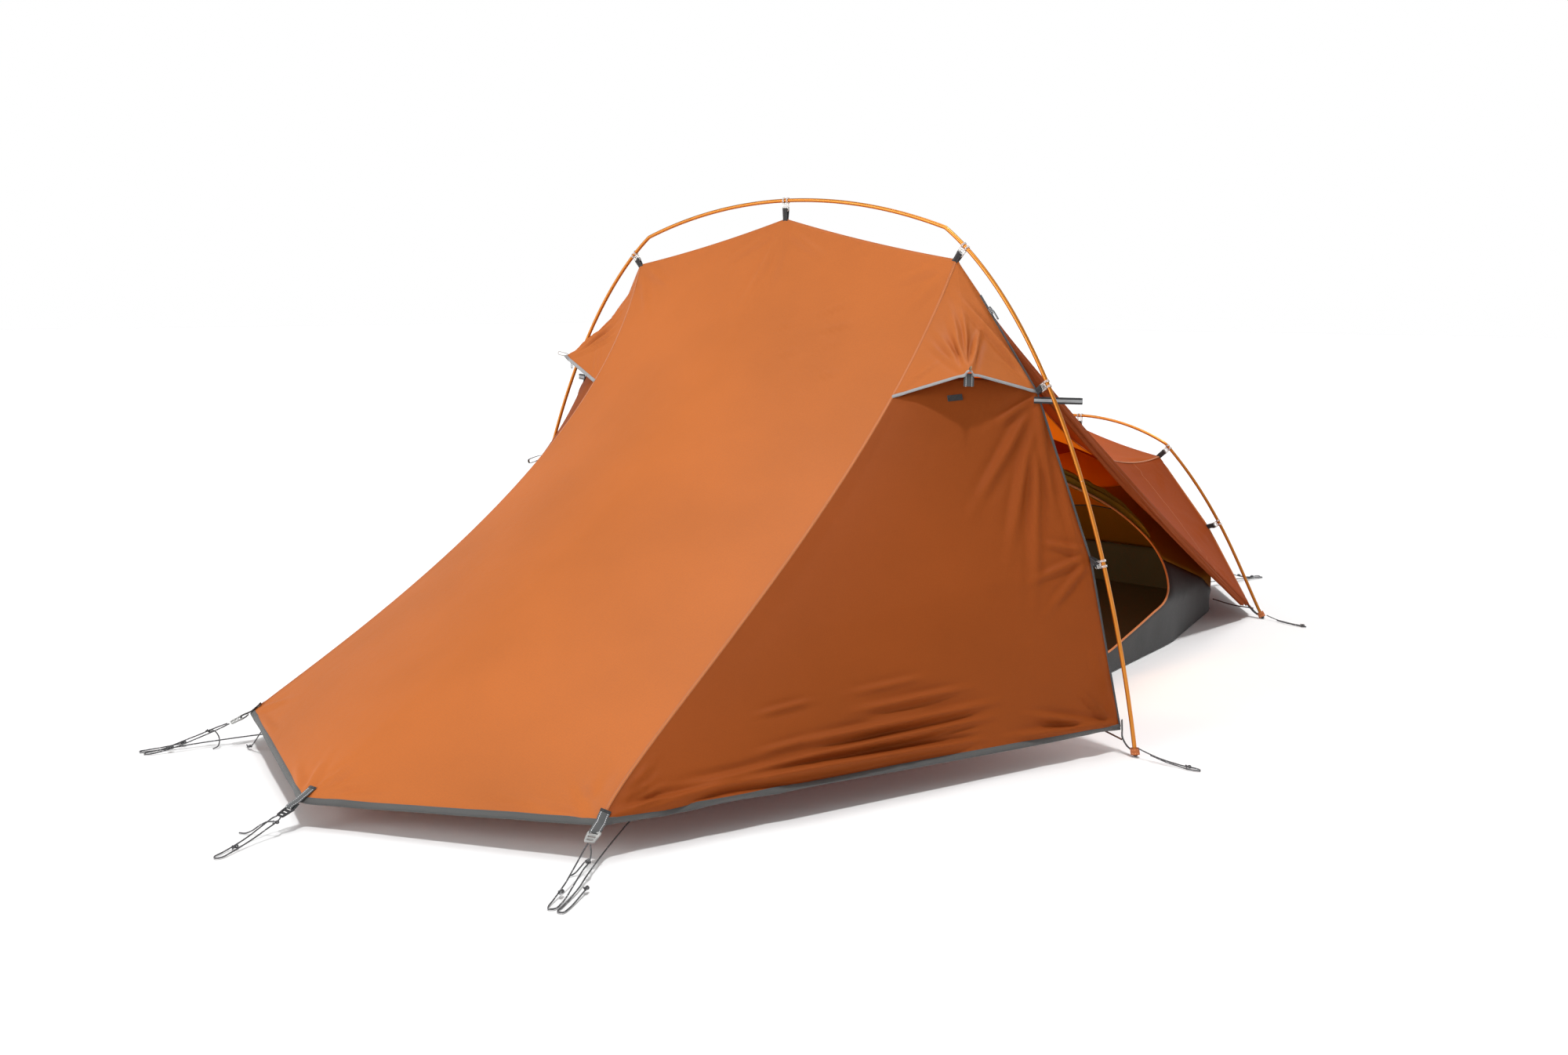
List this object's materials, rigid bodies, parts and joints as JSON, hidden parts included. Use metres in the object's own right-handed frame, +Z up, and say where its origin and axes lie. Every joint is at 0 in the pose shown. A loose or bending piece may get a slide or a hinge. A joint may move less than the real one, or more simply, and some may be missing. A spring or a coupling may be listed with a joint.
{
  "type": "backpacking tent",
  "caption": "Low two-hoop backpacking tent: outer alloy hoops carry a sloping flysheet over an inner tent with a bathtub floor, one door rolled up.",
  "frame": {"origin": "on the ground at the centre of the footprint, guy lines left out", "axes": "+X to the side with the open door, +Y from the tall end towards the low end, +Z up"},
  "size_m": [2.0846, 3.4731, 1.1065],
  "materials": {
    "poles": "orange anodised, satin",
    "shock_cord": "woven elastic",
    "black_plastic": "moulded, matt",
    "clear_plastic": "clear, glossy",
    "fly": "coated ripstop nylon with a slight sheen",
    "inner_fabric": "thin breathable nylon",
    "floor": "heavier coated nylon",
    "zip_metal": "painted zinc",
    "webbing": "woven tape",
    "guy_line": "braided cord with a reflective tracer"
  },
  "bodies": {
    "tent": {"main_hoop_ridge": "poles", "main_hoop_leg_right": "poles", "main_hoop_leg_left": "poles", "main_hoop_shock_cord": "shock_cord", "main_hoop_foot_tip_right": "black_plastic", "main_hoop_foot_tip_left": "black_plastic", "small_hoop_ridge": "poles", "small_hoop_leg_right": "poles", "small_hoop_leg_left": "poles", "small_hoop_shock_cord": "shock_cord", "small_hoop_foot_tip_right": "black_plastic", "small_hoop_foot_tip_left": "black_plastic", "main_clip_crown": "clear_plastic", "main_clip_shoulder_right": "clear_plastic", "main_clip_shoulder_left": "clear_plastic", "main_clip_mid_right": "clear_plastic", "main_clip_mid_left": "clear_plastic", "main_clip_low_right": "clear_plastic", "main_clip_low_left": "clear_plastic", "small_clip_crown": "clear_plastic", "small_clip_shoulder_right": "clear_plastic", "small_clip_shoulder_left": "clear_plastic", "small_clip_mid_right": "clear_plastic", "small_clip_mid_left": "clear_plastic", "fly_near_end": "fly", "fly_side_panel_right": "fly", "fly_side_panel_left": "fly", "fly_vent_hood_right": "fly", "fly_vent_hood_left": "fly", "fly_roof": "fly", "fly_rear_panel_right": "fly", "fly_rear_panel_left": "fly", "fly_far_end": "fly", "fly_door_roll_right": "fly", "inner_floor_tray": "floor", "inner_wall_right": "inner_fabric", "inner_wall_left": "inner_fabric", "inner_near_end": "inner_fabric", "inner_roof": "inner_fabric", "inner_far_end": "inner_fabric", "guy_line_near_corner_right": "guy_line", "guy_line_near_corner_left": "guy_line", "guy_line_near_middle": "guy_line", "guy_line_main_foot_right": "guy_line", "guy_line_main_foot_left": "guy_line", "guy_line_small_foot_right": "guy_line", "guy_line_small_foot_left": "guy_line", "guy_line_far_corner_right": "guy_line", "guy_line_far_corner_left": "guy_line"},
    "left_door": {"fly_door_left": "fly"},
    "right_zip_slider": {"zip_slider_right": "zip_metal"},
    "right_zip_pull": {"zip_pull_right": "zip_metal"},
    "left_zip_slider": {"zip_slider_left": "zip_metal"},
    "left_zip_pull": {"zip_pull_left": "zip_metal"},
    "right_vent_tab": {"vent_tab_right": "webbing"},
    "left_vent_tab": {"vent_tab_left": "webbing"},
    "right_buckle": {"guy_buckle_near_right": "black_plastic"},
    "left_buckle": {"guy_buckle_near_left": "black_plastic"},
    "middle_buckle": {"guy_buckle_near_middle": "black_plastic"}
  },
  "joints": [
    {"name": "left_door_swing", "type": "hinge", "parent": "tent", "child": "left_door", "pos_m": [-0.503, -0.22295, 0.891], "axis": [-0.038, 0.8476, -0.5293], "range_deg": [0, 110]},
    {"name": "right_zip_slide", "type": "slide", "parent": "tent", "child": "right_zip_slider", "axis": [0.5901, -0.0182, -0.8071], "range_m": [0, 0.13]},
    {"name": "right_zip_pull_swing", "type": "hinge", "parent": "right_zip_slider", "child": "right_zip_pull", "pos_m": [0.54106, -0.23323, 0.86178], "axis": [-0.0107, -0.9998, 0.0147], "range_deg": [0, 150]},
    {"name": "left_zip_slide", "type": "slide", "parent": "tent", "child": "left_zip_slider", "axis": [0.239, 0.0218, 0.9708], "range_m": [0, 0.24]},
    {"name": "left_zip_pull_swing", "type": "hinge", "parent": "left_zip_slider", "child": "left_zip_pull", "pos_m": [-0.86228, -0.25041, 0.09524], "axis": [-0.0052, 0.9998, -0.0212], "range_deg": [0, 150]},
    {"name": "right_vent_tab_swing", "type": "hinge", "parent": "tent", "child": "right_vent_tab", "pos_m": [0.56969, -0.36349, 0.73873], "axis": [0.7567, 0.6538, 0], "range_deg": [-20, 70]},
    {"name": "left_vent_tab_swing", "type": "hinge", "parent": "tent", "child": "left_vent_tab", "pos_m": [-0.56969, -0.36349, 0.73873], "axis": [-0.7567, 0.6538, 0], "range_deg": [-70, 20]},
    {"name": "right_buckle_tilt", "type": "hinge", "parent": "tent", "child": "right_buckle", "pos_m": [0.50507, -1.3242, 0.05392], "axis": [0.9383, 0.3457, 0], "range_deg": [-25, 25]},
    {"name": "left_buckle_tilt", "type": "hinge", "parent": "tent", "child": "left_buckle", "pos_m": [-0.50507, -1.3242, 0.05392], "axis": [-0.9383, 0.3457, 0], "range_deg": [-25, 25]},
    {"name": "middle_buckle_tilt", "type": "hinge", "parent": "tent", "child": "middle_buckle", "pos_m": [0, -1.53863, 0.03735], "axis": [1, 0, 0], "range_deg": [-25, 25]}
  ]
}
